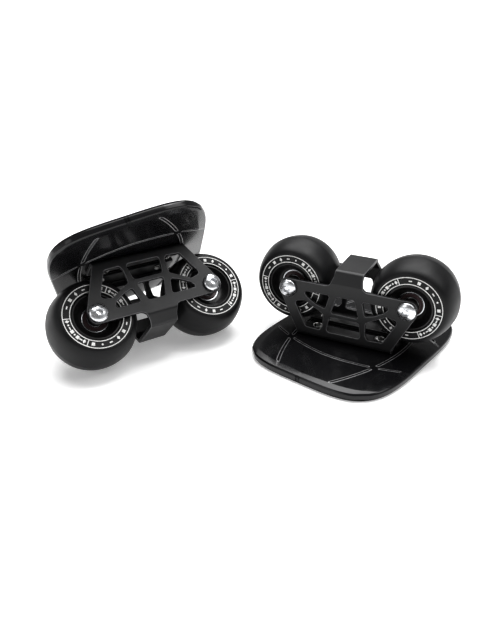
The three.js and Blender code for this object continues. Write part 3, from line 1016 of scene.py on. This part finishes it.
PER_MM_A = 1 / DECK_HALF_WIDTH
PER_MM_B = 1 / DECK_HALF_LENGTH
GAP_A = 4.5 * PER_MM_A
GAP_B = 4.5 * PER_MM_B
RIM_A = 1 - 6 * PER_MM_A
RIM_B = 1 - 6 * PER_MM_B
ARC_RUNS = ((-LINE_B + GAP_B, LINE_B - GAP_B), (LINE_B + GAP_B, RIM_B), (-RIM_B, -LINE_B - GAP_B))
LINE_RUNS = ((-ARC_A + GAP_A, ARC_A - GAP_A), (ARC_A + GAP_A, RIM_A), (-RIM_A, -ARC_A - GAP_A))


def smooth(share):
    share = min(1.0, max(0.0, share))
    return share * share * (3 - 2 * share)


def groove(across, along, runs):
    """Depth in millimetres at a distance across a groove and a place along it.

    Above 0 is the pressed-in groove, below 0 the rounded lip that stands proud on each side."""
    nearest = min(max(0, start - along, along - stop) for start, stop in runs)
    distance = math.hypot(across, nearest)
    if distance < GROOVE_HALF:
        return GROOVE_DEPTH * smooth((GROOVE_HALF - distance) / GROOVE_HALF * 1.6)
    if distance < GROOVE_HALF + LIP_REACH:
        return -LIP_HEIGHT * math.sin(math.pi * (distance - GROOVE_HALF) / LIP_REACH)
    return 0.0


def relief(a, b):
    """How far the underside is pressed in (above 0) or stands proud (below 0), in millimetres."""
    across_arc = abs(a) / PER_MM_A - ARC_A / PER_MM_A
    across_line = abs(b) / PER_MM_B - LINE_B / PER_MM_B
    arc = groove(across_arc, b / PER_MM_B, [(s / PER_MM_B, e / PER_MM_B) for s, e in ARC_RUNS])
    line = groove(across_line, a / PER_MM_A, [(s / PER_MM_A, e / PER_MM_A) for s, e in LINE_RUNS])
    outward = (abs(a) - ARC_A - 3 * PER_MM_A) / (1 - ARC_A)
    middle = smooth(-across_line / 4)
    dish = SIDE_DISH * max(0.0, outward) * middle * smooth((1 - abs(a)) / (3 * PER_MM_A))
    return (arc if abs(arc) > abs(line) else line) + dish


# The deck's side from the underside up: how far in from the outline, and the height.
DECK_SIDE = [
    (0.9, 44.32),
    (0.57, 44.67),
    (0.3, 45.1),
    (0.1, 45.6),
    (0.1, 48.2),
    (0.4, 49.1),
    (1.2, DECK_TOP),
    (6, DECK_TOP),
]


def make_deck(skate):
    name = f"{skate}_deck"
    work = bmesh.new()
    a_lines = grid_lines(ARC_A, PER_MM_A, (ARC_A - GAP_A, ARC_A + GAP_A, RIM_A))
    b_lines = grid_lines(LINE_B, PER_MM_B, (LINE_B - GAP_B, LINE_B + GAP_B, RIM_B))
    grid = []
    for b in b_lines:
        row = []
        for a in a_lines:
            x, y = deck_point(a, b)
            inset = inset_at(x, y)
            z = DECK_LOW + (EDGE_LOW - DECK_LOW) * smooth((EDGE_FLAT - inset) / (EDGE_FLAT - DECK_EDGE))
            row.append(work.verts.new((x, y, z + relief(a, b))))
        grid.append(row)
    # Marks the lips that stand proud beside each groove for the painted highlight.
    painted_highlight = work.faces.layers.float.new("painted_highlight")
    for row, (low, high) in enumerate(zip(grid, grid[1:])):
        b = (b_lines[row] + b_lines[row + 1]) / 2
        for i in range(len(low) - 1):
            face = work.faces.new((low[i], high[i], high[i + 1], low[i + 1]))
            face[painted_highlight] = 1.0 if relief((a_lines[i] + a_lines[i + 1]) / 2, b) < -0.1 else 0.0
    loop = grid[0][:-1] + [row[-1] for row in grid[:-1]] + grid[-1][:0:-1] + [row[0] for row in grid[:0:-1]]
    low_width = DECK_HALF_WIDTH - DECK_EDGE
    low_length = DECK_HALF_LENGTH - DECK_EDGE
    places = [(vertex.co.x / low_width, vertex.co.y / low_length) for vertex in loop]
    for inset, z in DECK_SIDE:
        width = DECK_HALF_WIDTH - inset
        length = DECK_HALF_LENGTH - inset
        ring = [work.verts.new((across * width, along * length, z)) for across, along in places]
        for i in range(len(loop)):
            j = (i + 1) % len(loop)
            work.faces.new((loop[i], loop[j], ring[j], ring[i]))
        loop = ring
    work.faces.new(loop)
    mesh = from_bmesh(f"{name}_skin", work)
    mesh.transform(deck_matrix(skate))
    piece = finish_piece(
        f"{name}_skin", mesh, skate_matrix(skate), f"{skate}_skate", "deck_alloy", 28
    )
    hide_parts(name)


def make_pad(skate):
    name = f"{skate}_grip_pad"
    work = bmesh.new()
    count = 160
    rows = []
    levels = ((0.3, PAD_LOW), (0, PAD_LOW + 0.3), (0, PAD_TOP - 0.35), (0.35, PAD_TOP), (4, PAD_TOP))
    for inset, z in levels:
        row = []
        for i in range(count):
            angle = 2 * math.pi * i / count
            across, along = math.cos(angle), math.sin(angle)
            bulge = 2 / DECK_POWER
            x = (DECK_HALF_WIDTH - PAD_INSET - inset) * math.copysign(abs(across) ** bulge, across)
            y = (DECK_HALF_LENGTH - PAD_INSET - inset) * math.copysign(abs(along) ** bulge, along)
            row.append(work.verts.new((x, y, z)))
        rows.append(row)
    for low, high in zip(rows, rows[1:]):
        for i in range(count):
            j = (i + 1) % count
            work.faces.new((low[i], low[j], high[j], high[i]))
    work.faces.new(rows[0])
    work.faces.new(rows[-1])
    mesh = from_bmesh(f"{name}_skin", work)
    mesh.transform(deck_matrix(skate))
    piece = finish_piece(f"{name}_skin", mesh, skate_matrix(skate), f"{skate}_skate", "grip")
    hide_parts(name)


# ---- build both skates ----
fold = Fold()
loops = frame_outlines(fold)
for skate in SKATES:
    make_frame(skate, fold, loops)
    make_deck(skate)
    make_pad(skate)
    make_deck_screws(skate)
    for end in ENDS:
        make_tyre(skate, end)
        make_core(skate, end)
        make_axle(skate, end)
        for side in (1, -1):
            make_bearing(skate, end, side)
            make_bush(skate, end, side)
            make_print(skate, end, side, math.radians({"front": 25, "rear": 80}[end]))

for skate in SKATES:
    for end in ENDS:
        spacer = frame["nodes"][f"{skate}_{end}_bearing_spacer"]
        spacer.data.materials.clear()
        spacer.data.materials.append(MATERIALS["bush_alloy"])


# ---- floor, lights and camera ----
def plain_material(name, colour, roughness):
    s = Shader(name, colour, roughness, specular=0.2)
    s.set("Base Color", s.blend(s.noise(2.0, 2), colour, tuple(c * 0.99 for c in colour)))
    return s.material


FLOOR_HALF = 60.0
FLOOR_GLOW = 0.32
floor_mesh = bpy.data.meshes.new("floor")
corners = [(x * FLOOR_HALF, y * FLOOR_HALF, 0) for x, y in ((-1, -1), (1, -1), (1, 1), (-1, 1))]
floor_mesh.from_pydata(corners, [], [(0, 1, 2, 3)])
floor_paint = plain_material("pale_floor", (0.85, 0.85, 0.85), 0.8)
floor_shader = floor_paint.node_tree.nodes["Principled BSDF"]
floor_shader.inputs["Emission Color"].default_value = (1, 1, 1, 1)
floor_shader.inputs["Emission Strength"].default_value = FLOOR_GLOW
floor_mesh.materials.append(floor_paint)
floor = bpy.data.objects.new("floor", floor_mesh)
bpy.context.scene.collection.objects.link(floor)


def studio_world():
    """White round the horizon, like a lit studio wall, and dimmer overhead, by the height Z."""
    world = bpy.data.worlds.new("studio")
    world.use_nodes = True
    tree = world.node_tree
    background = tree.nodes["Background"]
    background.inputs["Strength"].default_value = 1.0
    place = tree.nodes.new("ShaderNodeTexCoord")
    parts = tree.nodes.new("ShaderNodeSeparateXYZ")
    tree.links.new(place.outputs["Generated"], parts.inputs[0])
    ramp = tree.nodes.new("ShaderNodeValToRGB")
    ramp.color_ramp.elements[0].position = 0.03
    ramp.color_ramp.elements[0].color = (1.0, 1.0, 1.0, 1)
    ramp.color_ramp.elements[1].position = 0.3
    ramp.color_ramp.elements[1].color = (0.28, 0.28, 0.28, 1)
    tree.links.new(parts.outputs["Z"], ramp.inputs[0])
    tree.links.new(ramp.outputs[0], background.inputs["Color"])
    bpy.context.scene.world = world


studio_world()


def soft_sun(name, source, spread, strength):
    """A far, round softbox in the direction source, spread degrees across."""
    light = bpy.data.lights.new(name, "SUN")
    light.angle = math.radians(spread)
    light.energy = strength
    lamp = bpy.data.objects.new(name, light)
    lamp.rotation_euler = (-Vector(source)).to_track_quat("-Z", "Y").to_euler()
    bpy.context.scene.collection.objects.link(lamp)


soft_sun("overhead", (0, 0.36, 0.93), 60, 3.9)
soft_sun("front_left", (-0.7, -0.47, 0.5), 30, 0.35)
soft_sun("right", (0.62, -0.1, 0.75), 34, 0.8)
soft_sun("key", (0.25, 0.1, 0.96), 11, 0.5)

CAMERA_PLACE = (-0.00578, -0.49498, 0.2803)
CAMERA_DOWN = 27.07
CAMERA_LENS = 36.84
camera_data = bpy.data.cameras.new("camera")
camera_data.lens = CAMERA_LENS
camera_data.sensor_width = 36
camera_data.clip_start = 0.01
camera = bpy.data.objects.new("camera", camera_data)
camera.location = CAMERA_PLACE
camera.rotation_euler = (math.radians(90 - CAMERA_DOWN), 0, 0)
bpy.context.scene.collection.objects.link(camera)
bpy.context.scene.camera = camera
bpy.context.scene.view_settings.view_transform = "Standard"
bpy.context.scene.view_settings.gamma = 0.82
bpy.context.view_layer.update()
